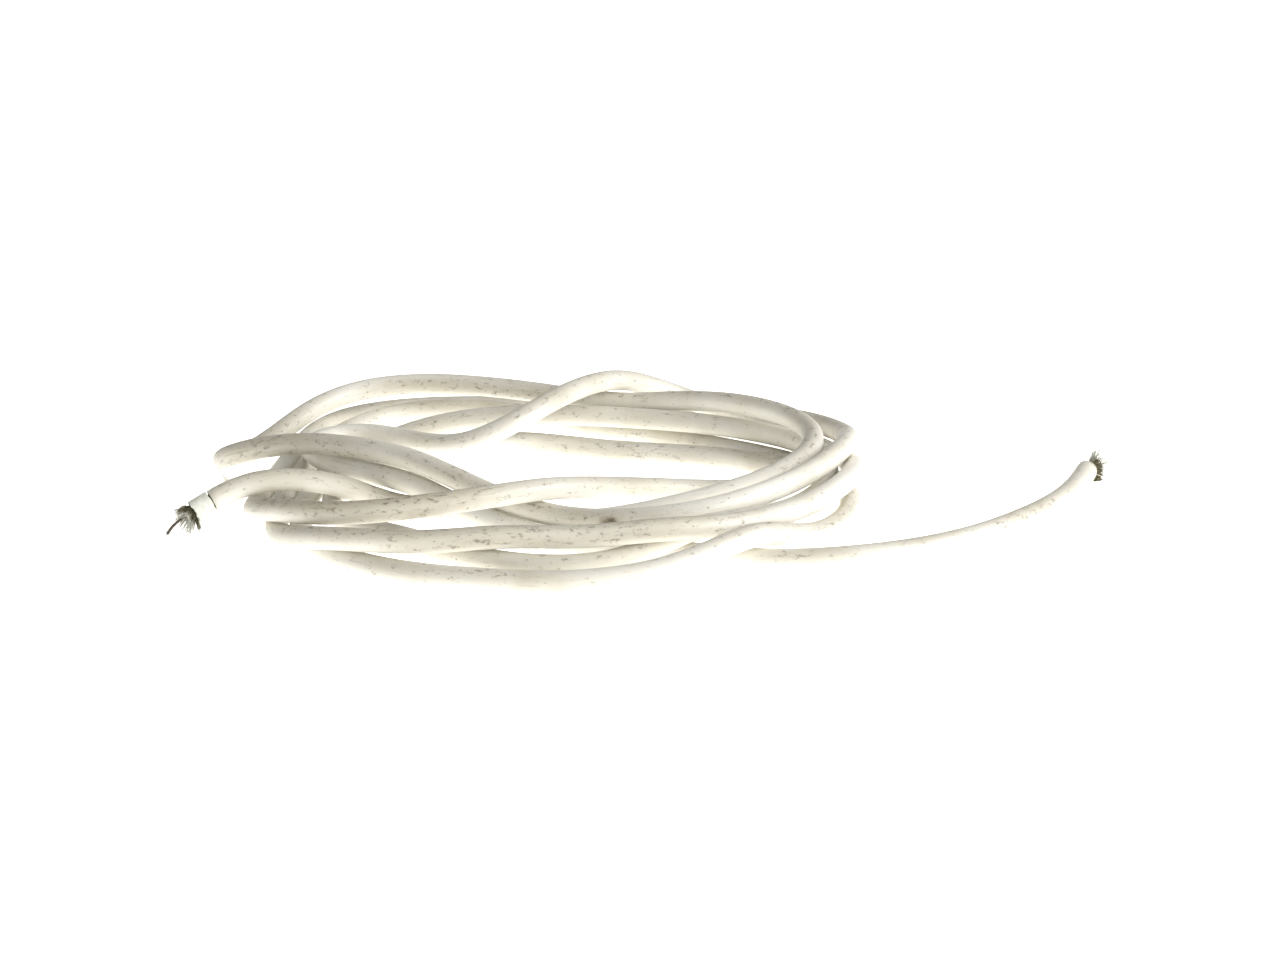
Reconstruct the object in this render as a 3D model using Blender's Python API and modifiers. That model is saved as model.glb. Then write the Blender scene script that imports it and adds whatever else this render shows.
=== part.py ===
"""Loose coil of thin white screened cable, both ends cut and frayed.

Built as the separate pieces a cut cable really has: outer jacket, braided
screen, core insulation, bare conductor, the ring of jacket left loose at one
end, and the locks of screen wire and filler that stick out of both cut ends.
Lengths are in millimetres times MM, so every object is in metres.
Floor at z = 0, +Z up, front is -Y, +X along the longest side.
"""
import math

import bpy
import numpy as np
from mathutils import Vector

MM = 0.001
COLLECTION = "charging_cable"
BASE = "cable_base"

# ---- driving dimensions (millimetres) ------------------------------------
CABLE_DIA = 4.0          # over the jacket
JACKET_R = 2.10          # corner radius of the eight-sided jacket (same area as a 4.0 round)
JACKET_BORE_R = 1.44     # corner radius of the bore
SCREEN_R = 1.30          # braided screen sleeve, outside
SCREEN_BORE_R = 1.09
INSUL_R = 0.91           # core insulation, outside
INSUL_BORE_R = 0.57
CORE_R = 0.47            # twisted bare conductor
JACKET_BEVEL = 2         # bevel resolution: 2 gives eight sides
INNER_BEVEL = 1          # 1 gives six sides, for what the jacket hides

COLLAR_LEN = 3.4         # ring of jacket cut loose at the left end
COLLAR_GAP = 0.15        # the score line between ring and jacket
SCREEN_OUT = 0.7         # screen sleeve past the jacket
INSUL_OUT = 1.8          # insulation past the jacket
CORE_OUT_RIGHT = 2.4     # conductor past the jacket, right
CORE_HANG = [(2.2, 0.0), (3.3, 0.1), (4.4, 0.3), (5.3, 0.6), (6.0, 0.9)]  # left: along, down
LOCK_RING = 1.17         # the locks of wire stand on this radius
TIP_RING = 0.72          # and the filler tips on this one
LOCK_TAPER = [1.0, 1.0, 0.92, 0.75, 0.42]
LOWEST_WISP = 0.45       # no loose wire reaches lower than this above the table

CORNER_TURN = 15.0       # degrees of bend per straight piece of the tube
CORNER_STEP = 16.0       # longest straight piece
WALK_STEP = 4.0          # spacing while the coil is settled
CONTACT = 4.2            # centre distance kept between two turns lying together
CLEAR = 4.15             # the same for the straight-sided solid
SETTLE_TURNS = 400

# ---- how the cable lies: x, y, height of the centre line ------------------
LAY = {
    "right tail on the table": [
        (82.9, -0.6, 2), (81.2, -4.8, 2), (79.6, -10.5, 2), (76.6, -17.5, 2), (71.5, -25, 2),
        (61, -38, 2), (47, -49, 2), (31, -54, 2),
    ],
    "under the front, short inner bend, up over the back": [
        (17, -55, 2), (4, -51.5, 2), (-9, -46, 2), (-20, -40, 2.2), (-29, -33, 4), (-36, -27, 5.6),
        (-45, -21, 6.6), (-54, -13, 6.6), (-61, -4, 6.3), (-61, 6, 6), (-54, 11, 5.6), (-45, 8, 4.8),
        (-37, 0, 5.2), (-29, -3, 9), (-21, 2, 12), (-15, 11, 13.5), (-8, 21, 12.5), (2, 31, 9.5),
        (14, 36, 5), (26, 29, 2), (34.5, 15, 2.5), (38, 0, 4), (38, -14, 6), (34.5, -28, 6.8),
        (26, -42, 6.8), (11, -54, 6.5), (-8, -58, 6.3),
    ],
    "second turn": [
        (-26, -60, 6), (-44, -58, 5.2), (-58, -49, 4), (-63.5, -35, 3), (-63.5, -17, 2), (-62, 0, 2),
        (-60, 18, 2), (-53, 33, 3), (-38, 40, 3.5), (-22, 37, 3), (-6, 29, 2), (8, 21, 2),
        (20, 12, 2), (31, 2, 2), (37, -11, 2), (37.5, -24, 2), (33.5, -36, 2), (27, -46, 2.6),
        (19, -55.5, 4), (10, -62, 4.4), (0, -66.5, 3),
    ],
    "third turn": [
        (-12, -67, 2), (-28, -65, 2), (-45, -58.5, 2), (-56.5, -46, 2), (-59.5, -31, 2), (-58.5, -14, 2),
        (-57, 2, 2), (-51, 14, 3), (-40, 21, 5), (-27, 24, 6), (-10, 23, 6.3), (7, 19, 6.3),
        (22, 12, 5.5), (31, 2, 5), (34, -11, 5.4), (32, -25, 5.6), (27, -37, 5.7), (18, -46, 5.8),
        (9, -52, 5.6), (0, -57, 3.4),
    ],
    "fourth turn": [
        (-9, -61.5, 3.2), (-22, -61, 4.5), (-36, -52, 4.5), (-47, -39, 2.5), (-54, -24, 2),
        (-54, -8, 2), (-47, 6, 2.3), (-35, 14, 3.3), (-20, 16, 3), (-6, 12.5, 2), (8, 10.5, 2),
        (19, 7, 2), (27, 2, 2), (29.6, -5.5, 2), (26, -12, 2), (17, -15, 2.2),
    ],
    "fifth turn, climbing along the front": [
        (8, -18, 3.5), (0, -24, 5.5), (-7, -31, 7.3), (-16, -39, 9), (-29, -47, 10),
        (-43, -52, 9.6), (-56, -49, 7.5), (-64, -38, 4.3), (-67, -23, 2.3), (-66.5, -6, 2),
        (-65.5, 10, 2), (-64.5, 24, 2), (-60, 37, 2), (-50, 45, 2), (-34, 48, 2), (-17, 46, 2),
        (0, 43, 2), (15, 39, 2), (29, 29, 4), (37, 14, 5.5), (38.5, 0, 7.5),
    ],
    "sixth turn, ending in the bend that stands out to the left": [
        (36.5, -13, 9.2), (30, -27, 9), (19, -40, 8.2), (8, -46, 7.2), (-6, -45, 5.9), (-16, -39, 5),
        (-23, -35, 5.8), (-30, -31, 7.5), (-37, -27, 9), (-46, -20, 10), (-56, -13, 10.3),
        (-66, -8.5, 9.5), (-73, -7, 7.6), (-77.8, -3, 4.8), (-78.8, 3, 2.4), (-76, 9, 2),
    ],
    "seventh turn, high round the back": [
        (-71, 13, 2), (-68, 18, 3.4), (-65.5, 24.5, 6), (-59.5, 31.5, 8.2), (-51, 35, 9.2),
        (-41, 35.5, 9.7), (-24, 31, 9.5), (-8, 27, 9),
        (8, 22, 10), (20, 13, 11), (29, 2, 11), (32, -10, 10.3), (26, -23, 8.8), (17, -32, 7.5),
        (8, -36, 6.3), (-1, -38, 4.8),
    ],
    "left tail over the side of the coil": [
        (-9, -38, 3.3), (-18, -34, 2.2), (-29, -28, 2), (-39, -24, 2), (-47, -24, 3),
        (-56, -26.5, 5.3), (-65, -29.6, 6.6), (-72.5, -32.2, 5.8), (-77.3, -33.8, 4),
    ],
}

COLOURS = {
    "jacket": (0.80, 0.79, 0.74, 1.0), "screen": (0.07, 0.065, 0.055, 1.0),
    "insulation": (0.74, 0.71, 0.62, 1.0), "conductor": (0.10, 0.07, 0.05, 1.0),
    "collar": (0.72, 0.74, 0.68, 1.0), "filler": (0.62, 0.62, 0.58, 1.0),
}
METALS = {"screen", "conductor"}


# ---- the route -------------------------------------------------------------
def walk(points, step):
    """Resample a smooth curve through the points at an even spacing."""
    pts = np.array(points, float)
    ends = np.vstack([2 * pts[0] - pts[1], pts, 2 * pts[-1] - pts[-2]])
    t = np.linspace(0.0, 1.0, 24, endpoint=False)[:, None]
    rows = []
    for k in range(len(pts) - 1):
        a, b, c, d = ends[k:k + 4]
        rows.append(0.5 * (2 * b + (c - a) * t + (2 * a - 5 * b + 4 * c - d) * t ** 2
                           + (3 * b - a - 3 * c + d) * t ** 3))
    fine = np.vstack(rows + [pts[-1:]])
    run = np.concatenate([[0.0], np.cumsum(np.linalg.norm(np.diff(fine, axis=0), axis=1))])
    at = np.linspace(0.0, run[-1], int(round(run[-1] / step)) + 1)
    return np.stack([np.interp(at, run, fine[:, k]) for k in range(3)], axis=1)


def soften(path, amount):
    """Take sharp changes of bend out of the path, ends kept."""
    mid = np.zeros_like(path)
    mid[1:-1] = (path[:-2] + path[2:]) / 2 - path[1:-1]
    wave = np.zeros_like(path)
    wave[1:-1] = (mid[:-2] + mid[2:]) / 2 - mid[1:-1]
    return path - amount * wave


def nearest(path, first, second):
    """For pairs of straight pieces: where they come closest, and the gap between."""
    u, v = path[first + 1] - path[first], path[second + 1] - path[second]
    w = path[first] - path[second]
    uu, uv, vv = (u * u).sum(axis=1), (u * v).sum(axis=1), (v * v).sum(axis=1)
    uw, vw = (u * w).sum(axis=1), (v * w).sum(axis=1)
    s = np.clip((uv * vw - vv * uw) / np.maximum(uu * vv - uv * uv, 1e-6), 0.0, 1.0)
    t = np.clip((uv * s + vw) / vv, 0.0, 1.0)
    s = np.clip((uv * t - uw) / uu, 0.0, 1.0)
    return s, t, -(w + s[:, None] * u - t[:, None] * v)


def keep_apart(path, first, second, reach):
    """Push straight pieces that come closer than reach straight apart."""
    s, t, gap = nearest(path, first, second)
    dist = np.linalg.norm(gap, axis=1)
    near = dist < reach
    if not near.any():
        return path
    push = ((reach - dist[near]) / np.maximum(dist[near], 1e-6))[:, None] * gap[near] * 0.5
    move, count = np.zeros_like(path), np.zeros(len(path))
    for index, share, sign in ((first[near], 1 - s[near], -1), (first[near] + 1, s[near], -1),
                               (second[near], 1 - t[near], 1), (second[near] + 1, t[near], 1)):
        np.add.at(move, index, sign * share[:, None] * push)
        np.add.at(count, index, share)
    return path + move / np.maximum(count, 0.5)[:, None]


def pairs(path, skip_length):
    """Every pair of straight pieces further apart than skip_length along the cable."""
    run = np.concatenate([[0.0], np.cumsum(np.linalg.norm(np.diff(path, axis=0), axis=1))])
    one, two = np.triu_indices(len(path) - 1, 2)
    apart = run[two] - run[one + 1] > skip_length
    return one[apart], two[apart]


def close_pairs(path, one, two, reach):
    """The pairs near enough to matter."""
    gap = nearest(path, one, two)[2]
    close = (gap ** 2).sum(axis=1) < reach ** 2
    return one[close], two[close]


def settle(start):
    """Lay the turns on the table and on one another, a cable's width apart."""
    path = start.copy()
    one, two = pairs(path, 2.2 * CABLE_DIA)
    for turn in range(SETTLE_TURNS):
        if turn % 20 == 0:
            first, second = close_pairs(path, one, two, 1.8 * CONTACT)
        if turn < 0.7 * SETTLE_TURNS:
            path = soften(path + 0.02 * (start - path), 0.5)
        elif turn % 4 == 0:
            path = soften(path, 0.2)
        for _ in range(2):
            path = keep_apart(path, first, second, CONTACT)
            path[:, 2] = np.maximum(path[:, 2], CABLE_DIA / 2)
    return path


def ease_apart(path):
    """The same clearance again, for the longer straight pieces of the solid."""
    one, two = pairs(path, 2.0 * CABLE_DIA)
    for turn in range(120):
        if turn % 20 == 0:
            first, second = close_pairs(path, one, two, 1.8 * CONTACT)
        path = keep_apart(path, first, second, CLEAR)
        path[:, 2] = np.maximum(path[:, 2], CABLE_DIA / 2)
    return path


def corners(path):
    """Pick the points a straight-sided tube needs: closer where it bends more."""
    step = np.diff(path, axis=0)
    size = np.linalg.norm(step, axis=1)
    head = step / size[:, None]
    picked, bend, gone = [0], 0.0, 0.0
    for k in range(1, len(path) - 1):
        bend += math.degrees(math.acos(max(-1.0, min(1.0, float(head[k - 1] @ head[k])))))
        gone += size[k - 1]
        if bend >= CORNER_TURN or gone >= CORNER_STEP:
            picked.append(k)
            bend, gone = 0.0, 0.0
    if len(path) - 1 - picked[-1] < 2:
        picked.pop()
    picked.append(len(path) - 1)
    return path[picked]


def stretch(path, before, after):
    """Lengthen a path straight on at its two ends (or shorten it, if negative)."""
    out = path.copy()
    for end, near, by in ((0, 1, before), (-1, -2, after)):
        way = out[end] - out[near]
        out[end] = out[end] + way / np.linalg.norm(way) * by
    return out


# ---- solids ----------------------------------------------------------------
def material_for(name, kind):
    """One material for one piece."""
    material = bpy.data.materials.new(name)
    material.use_nodes = True
    shader = material.node_tree.nodes["Principled BSDF"]
    shader.inputs["Base Color"].default_value = COLOURS[kind]
    shader.inputs["Roughness"].default_value = 0.45
    shader.inputs["Metallic"].default_value = 1.0 if kind in METALS else 0.0
    return material


def rod(name, path, radius, kind, sizes=None, bevel=INNER_BEVEL, flat_down=True):
    """A solid rod: a bevelled curve with filled caps, a flat of it facing straight down."""
    curve = bpy.data.curves.new(name, "CURVE")
    curve.dimensions = "3D"
    curve.twist_mode = "Z_UP" if flat_down else "MINIMUM"
    curve.bevel_depth = radius * MM
    curve.bevel_resolution = bevel
    curve.render_resolution_u = 0
    curve.use_fill_caps = True
    spline = curve.splines.new("POLY")
    spline.points.add(len(path) - 1)
    for point, place, size in zip(spline.points, path, sizes or [1.0] * len(path)):
        point.co = (place[0] * MM, place[1] * MM, place[2] * MM, 1.0)
        point.radius = size
        point.tilt = math.pi / (4 + 2 * bevel)
    curve.materials.append(material_for(name, kind))
    thing = bpy.data.objects.new(name, curve)
    thing.parent = bpy.data.objects[BASE]
    bpy.data.collections[COLLECTION].objects.link(thing)
    return thing


def hose(name, path, radius, bore, kind, bevel=INNER_BEVEL):
    """An open-ended tube: the same curve without caps, given a wall inwards."""
    thing = rod(name, path, radius, kind, bevel=bevel)
    thing.data.use_fill_caps = False
    wall = thing.modifiers.new("wall", "SOLIDIFY")
    wall.thickness = (radius - bore) * MM
    wall.offset = -1.0
    return thing


# ---- the frayed ends ---------------------------------------------------------
class CutEnd:
    """Places round the axis of a cut end, measured from the jacket's face."""

    def __init__(self, path, last):
        tip, near = (path[-1], path[-2]) if last else (path[0], path[1])
        self.tip = Vector(tip)
        self.out = (self.tip - Vector(near)).normalized()
        self.across = self.out.cross(Vector((0, 0, 1))).normalized()
        self.up = self.across.cross(self.out).normalized()

    def at(self, along, radius, degrees):
        """The point this far along, and this far off the axis at a turn in degrees."""
        angle = math.radians(degrees)
        side = self.across * math.cos(angle) + self.up * math.sin(angle)
        return tuple(self.tip + self.out * along + side * radius)

    def lock(self, name, kind, root, ring, degrees, length, flare, thick, droop):
        """One lock of wires or fibres: flush at its root, then bending outwards."""
        points = [self.at(root, ring, degrees), self.at(root + 0.35 * length, ring, degrees)]
        for part, spread in ((0.62, 0.35), (0.85, 0.72), (1.0, 1.0)):
            x, y, z = self.at(root + part * length, ring + spread * flare, degrees)
            points.append((x, y, max(z - droop * spread, LOWEST_WISP)))
        rod(name, points, thick, kind, sizes=LOCK_TAPER, flat_down=False)


LEFT_LOCKS = [  # degrees round the axis, length, flare, thickness, droop
    (15, 2.6, 1.5, 0.26, 0.3), (45, 2.2, 1.3, 0.24, 0.2), (75, 2.0, 1.5, 0.26, 0.2),
    (105, 2.2, 1.3, 0.25, 0.2), (135, 2.5, 1.6, 0.26, 0.4), (165, 2.9, 1.7, 0.24, 0.7),
    (195, 3.3, 1.5, 0.25, 0.9), (225, 2.7, 1.2, 0.24, 0.6), (255, 2.3, 1.0, 0.25, 0.3),
    (285, 2.5, 1.1, 0.24, 0.3), (315, 3.0, 1.4, 0.26, 0.6), (345, 3.3, 1.7, 0.25, 0.8),
]
RIGHT_LOCKS = [
    (0, 1.3, 0.9, 0.26, 0.1), (36, 1.6, 0.6, 0.25, 0.0), (72, 1.1, 1.0, 0.26, 0.0),
    (108, 1.4, 0.7, 0.24, 0.0), (144, 1.2, 1.1, 0.26, 0.1), (180, 1.7, 0.9, 0.25, 0.2),
    (216, 1.3, 0.5, 0.26, 0.1), (252, 1.1, 0.35, 0.25, 0.0), (288, 1.5, 0.35, 0.24, 0.0),
    (324, 2.0, 0.8, 0.26, 0.3),
]
LEFT_TIPS = [(70, 2.2, 0.25, 0.16, 0.1), (250, 1.7, 0.25, 0.16, 0.1)]
RIGHT_TIPS = [(30, 2.0, 0.5, 0.16, 0.0), (150, 2.5, 0.5, 0.16, 0.0), (270, 1.6, 0.5, 0.16, 0.0)]


def add_ends(path):
    """Collar, screen locks and filler tips at the two cut ends."""
    left, right = CutEnd(path, last=True), CutEnd(path, last=False)
    ring = [left.at(-COLLAR_LEN, 0, 0), left.at(-0.5 * COLLAR_LEN, 0, 0), left.at(0, 0, 0)]
    hose("jacket_collar_left", ring, JACKET_R, JACKET_BORE_R, "collar", bevel=JACKET_BEVEL)
    for side, end, locks in (("left", left, LEFT_LOCKS), ("right", right, RIGHT_LOCKS)):
        for k, lock in enumerate(locks):
            end.lock(f"screen_lock_{side}_{k + 1:02d}", "screen", SCREEN_OUT, LOCK_RING, *lock)
    for side, end, tips in (("left", left, LEFT_TIPS), ("right", right, RIGHT_TIPS)):
        for k, tip in enumerate(tips):
            end.lock(f"filler_tip_{side}_{k + 1}", "filler", INSUL_OUT, TIP_RING, *tip)
    return left


def conductor_path(path, left):
    """The conductor runs the whole cable and hangs down out of the left end."""
    body = stretch(path, CORE_OUT_RIGHT, 0.0)
    hang = [left.at(along, sag, 270) for along, sag in CORE_HANG]
    return np.vstack([body, np.array(hang)])


def stand_on_origin():
    """Move the base empty so that the whole part's box bottom centre is the world origin."""
    graph = bpy.context.evaluated_depsgraph_get()
    low, high = Vector((1, 1, 1)), Vector((-1, -1, -1))
    for thing in bpy.data.collections[COLLECTION].objects:
        if thing.type != "CURVE":
            continue
        mesh = thing.evaluated_get(graph).to_mesh()
        for vertex in mesh.vertices:
            low = Vector(map(min, low, vertex.co))
            high = Vector(map(max, high, vertex.co))
    middle = (low + high) / 2
    bpy.data.objects[BASE].location = (-middle.x, -middle.y, -low.z)


def start_scene():
    """An empty scene, a collection for the cable, and the empty that carries it all."""
    for thing in list(bpy.data.objects):
        bpy.data.objects.remove(thing, do_unlink=True)
    collection = bpy.data.collections.new(COLLECTION)
    bpy.context.scene.collection.children.link(collection)
    collection.objects.link(bpy.data.objects.new(BASE, None))


def main():
    start_scene()
    waypoints = [point for part in LAY.values() for point in part]
    path = ease_apart(corners(settle(walk(waypoints, WALK_STEP))))
    hose("outer_jacket", stretch(path, 0.0, -(COLLAR_LEN + COLLAR_GAP)), JACKET_R,
         JACKET_BORE_R, "jacket", bevel=JACKET_BEVEL)
    hose("screen_braid", stretch(path, SCREEN_OUT, SCREEN_OUT), SCREEN_R, SCREEN_BORE_R, "screen")
    hose("core_insulation", stretch(path, INSUL_OUT, INSUL_OUT), INSUL_R, INSUL_BORE_R,
         "insulation")
    left = add_ends(path)
    core = conductor_path(path, left)
    rod("core_conductor", core, CORE_R, "conductor", sizes=[1.0] * (len(core) - 1) + [0.7])
    stand_on_origin()


main()
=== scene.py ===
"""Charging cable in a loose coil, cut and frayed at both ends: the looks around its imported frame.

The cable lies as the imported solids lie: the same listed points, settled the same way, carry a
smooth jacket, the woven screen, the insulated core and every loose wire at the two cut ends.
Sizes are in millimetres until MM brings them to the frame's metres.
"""
import logging
import math
from dataclasses import dataclass, field
from enum import Enum

import bpy
import numpy as np
from mathutils import Matrix, Vector

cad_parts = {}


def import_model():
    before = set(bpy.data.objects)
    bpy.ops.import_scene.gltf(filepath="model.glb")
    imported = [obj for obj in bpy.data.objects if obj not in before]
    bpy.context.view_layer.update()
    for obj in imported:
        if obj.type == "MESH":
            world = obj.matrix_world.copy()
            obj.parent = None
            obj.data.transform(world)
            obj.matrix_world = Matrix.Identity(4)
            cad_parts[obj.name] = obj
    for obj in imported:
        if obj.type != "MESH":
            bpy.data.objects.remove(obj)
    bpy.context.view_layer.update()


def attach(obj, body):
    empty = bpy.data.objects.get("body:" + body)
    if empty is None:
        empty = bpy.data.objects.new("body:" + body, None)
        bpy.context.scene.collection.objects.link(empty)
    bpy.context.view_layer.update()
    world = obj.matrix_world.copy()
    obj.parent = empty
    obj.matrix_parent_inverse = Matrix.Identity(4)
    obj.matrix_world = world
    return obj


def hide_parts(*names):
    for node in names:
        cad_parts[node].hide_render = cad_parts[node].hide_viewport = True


log = logging.getLogger("charging_cable")
Socket = bpy.types.NodeSocket

MM = 0.001
BODY = "root"
FRAME_SHIFT = (-1.562, 9.441, 0.0)   # where the lay's own origin stands in the frame, mm
STRAIGHT = "straight"                # attribute: the same point on the cable pulled straight, m
GRIME_AND_SHADE = "grime_and_shade"                      # attribute: how far each point is darkened, by handling dirt and by painted shade on the tops of the turns
CURVE_SAMPLES = 24                   # points worked out between two points of a curve
FINE_STEP = 0.5                      # spacing at which lengths along the cable are read off, mm
TINY = 1e-6                          # keeps a division from going by zero

LAY: dict[str, list[tuple[float, float, float]]] = {
    "right tail on the table": [
        (82.9, -0.6, 2), (81.2, -4.8, 2), (79.6, -10.5, 2), (76.6, -17.5, 2), (71.5, -25, 2),
        (61, -38, 2), (47, -49, 2), (31, -54, 2),
    ],
    "under the front, short inner bend, up over the back": [
        (17, -55, 2), (4, -51.5, 2), (-9, -46, 2), (-20, -40, 2.2), (-29, -33, 4),
        (-36, -27, 5.6), (-45, -21, 6.6), (-54, -13, 6.6), (-61, -4, 6.3), (-61, 6, 6),
        (-54, 11, 5.6), (-45, 8, 4.8), (-37, 0, 5.2), (-29, -3, 9), (-21, 2, 12),
        (-15, 11, 13.5), (-8, 21, 12.5), (2, 31, 9.5), (14, 36, 5), (26, 29, 2), (34.5, 15, 2.5),
        (38, 0, 4), (38, -14, 6), (34.5, -28, 6.8), (26, -42, 6.8), (11, -54, 6.5),
        (-8, -58, 6.3),
    ],
    "second turn": [
        (-26, -60, 6), (-44, -58, 5.2), (-58, -49, 4), (-63.5, -35, 3), (-63.5, -17, 2),
        (-62, 0, 2), (-60, 18, 2), (-53, 33, 3), (-38, 40, 3.5), (-22, 37, 3), (-6, 29, 2),
        (8, 21, 2), (20, 12, 2), (31, 2, 2), (37, -11, 2), (37.5, -24, 2), (33.5, -36, 2),
        (27, -46, 2.6), (19, -55.5, 4), (10, -62, 4.4), (0, -66.5, 3),
    ],
    "third turn": [
        (-12, -67, 2), (-28, -65, 2), (-45, -58.5, 2), (-56.5, -46, 2), (-59.5, -31, 2),
        (-58.5, -14, 2), (-57, 2, 2), (-51, 14, 3), (-40, 21, 5), (-27, 24, 6), (-10, 23, 6.3),
        (7, 19, 6.3), (22, 12, 5.5), (31, 2, 5), (34, -11, 5.4), (32, -25, 5.6), (27, -37, 5.7),
        (18, -46, 5.8), (9, -52, 5.6), (0, -57, 3.4),
    ],
    "fourth turn": [
        (-9, -61.5, 3.2), (-22, -61, 4.5), (-36, -52, 4.5), (-47, -39, 2.5), (-54, -24, 2),
        (-54, -8, 2), (-47, 6, 2.3), (-35, 14, 3.3), (-20, 16, 3), (-6, 12.5, 2), (8, 10.5, 2),
        (19, 7, 2), (27, 2, 2), (29.6, -5.5, 2), (26, -12, 2), (17, -15, 2.2),
    ],
    "fifth turn, climbing along the front": [
        (8, -18, 3.5), (0, -24, 5.5), (-7, -31, 7.3), (-16, -39, 9), (-29, -47, 10),
        (-43, -52, 9.6), (-56, -49, 7.5), (-64, -38, 4.3), (-67, -23, 2.3), (-66.5, -6, 2),
        (-65.5, 10, 2), (-64.5, 24, 2), (-60, 37, 2), (-50, 45, 2), (-34, 48, 2), (-17, 46, 2),
        (0, 43, 2), (15, 39, 2), (29, 29, 4), (37, 14, 5.5), (38.5, 0, 7.5),
    ],
    "sixth turn, ending in the bend that stands out to the left": [
        (36.5, -13, 9.2), (30, -27, 9), (19, -40, 8.2), (8, -46, 7.2), (-6, -45, 5.9),
        (-16, -39, 5), (-23, -35, 5.8), (-30, -31, 7.5), (-37, -27, 9), (-46, -20, 10),
        (-56, -13, 10.3), (-66, -8.5, 9.5), (-73, -7, 7.6), (-77.8, -3, 4.8), (-78.8, 3, 2.4),
        (-76, 9, 2),
    ],
    "seventh turn, high round the back": [
        (-71, 13, 2), (-68, 18, 3.4), (-65.5, 24.5, 6), (-59.5, 31.5, 8.2), (-51, 35, 9.2),
        (-41, 35.5, 9.7), (-24, 31, 9.5), (-8, 27, 9), (8, 22, 10), (20, 13, 11), (29, 2, 11),
        (32, -10, 10.3), (26, -23, 8.8), (17, -32, 7.5), (8, -36, 6.3), (-1, -38, 4.8),
    ],
    "left tail over the side of the coil": [
        (-9, -38, 3.3), (-18, -34, 2.2), (-29, -28, 2), (-39, -24, 2), (-47, -24, 3),
        (-56, -26.5, 5.3), (-65, -29.6, 6.6), (-72.5, -32.2, 5.8), (-77.3, -33.8, 4),
    ],
}


class Side(Enum):
    """The two cut ends of the cable."""

    LEFT = "left"
    RIGHT = "right"


class Slot(Enum):
    """The finish slots that the frame's record names."""

    JACKET = "jacket"
    COLLAR = "collar"
    SCREEN = "screen"
    INSULATION = "insulation"
    CONDUCTOR = "conductor"
    FILLER = "filler"


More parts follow.
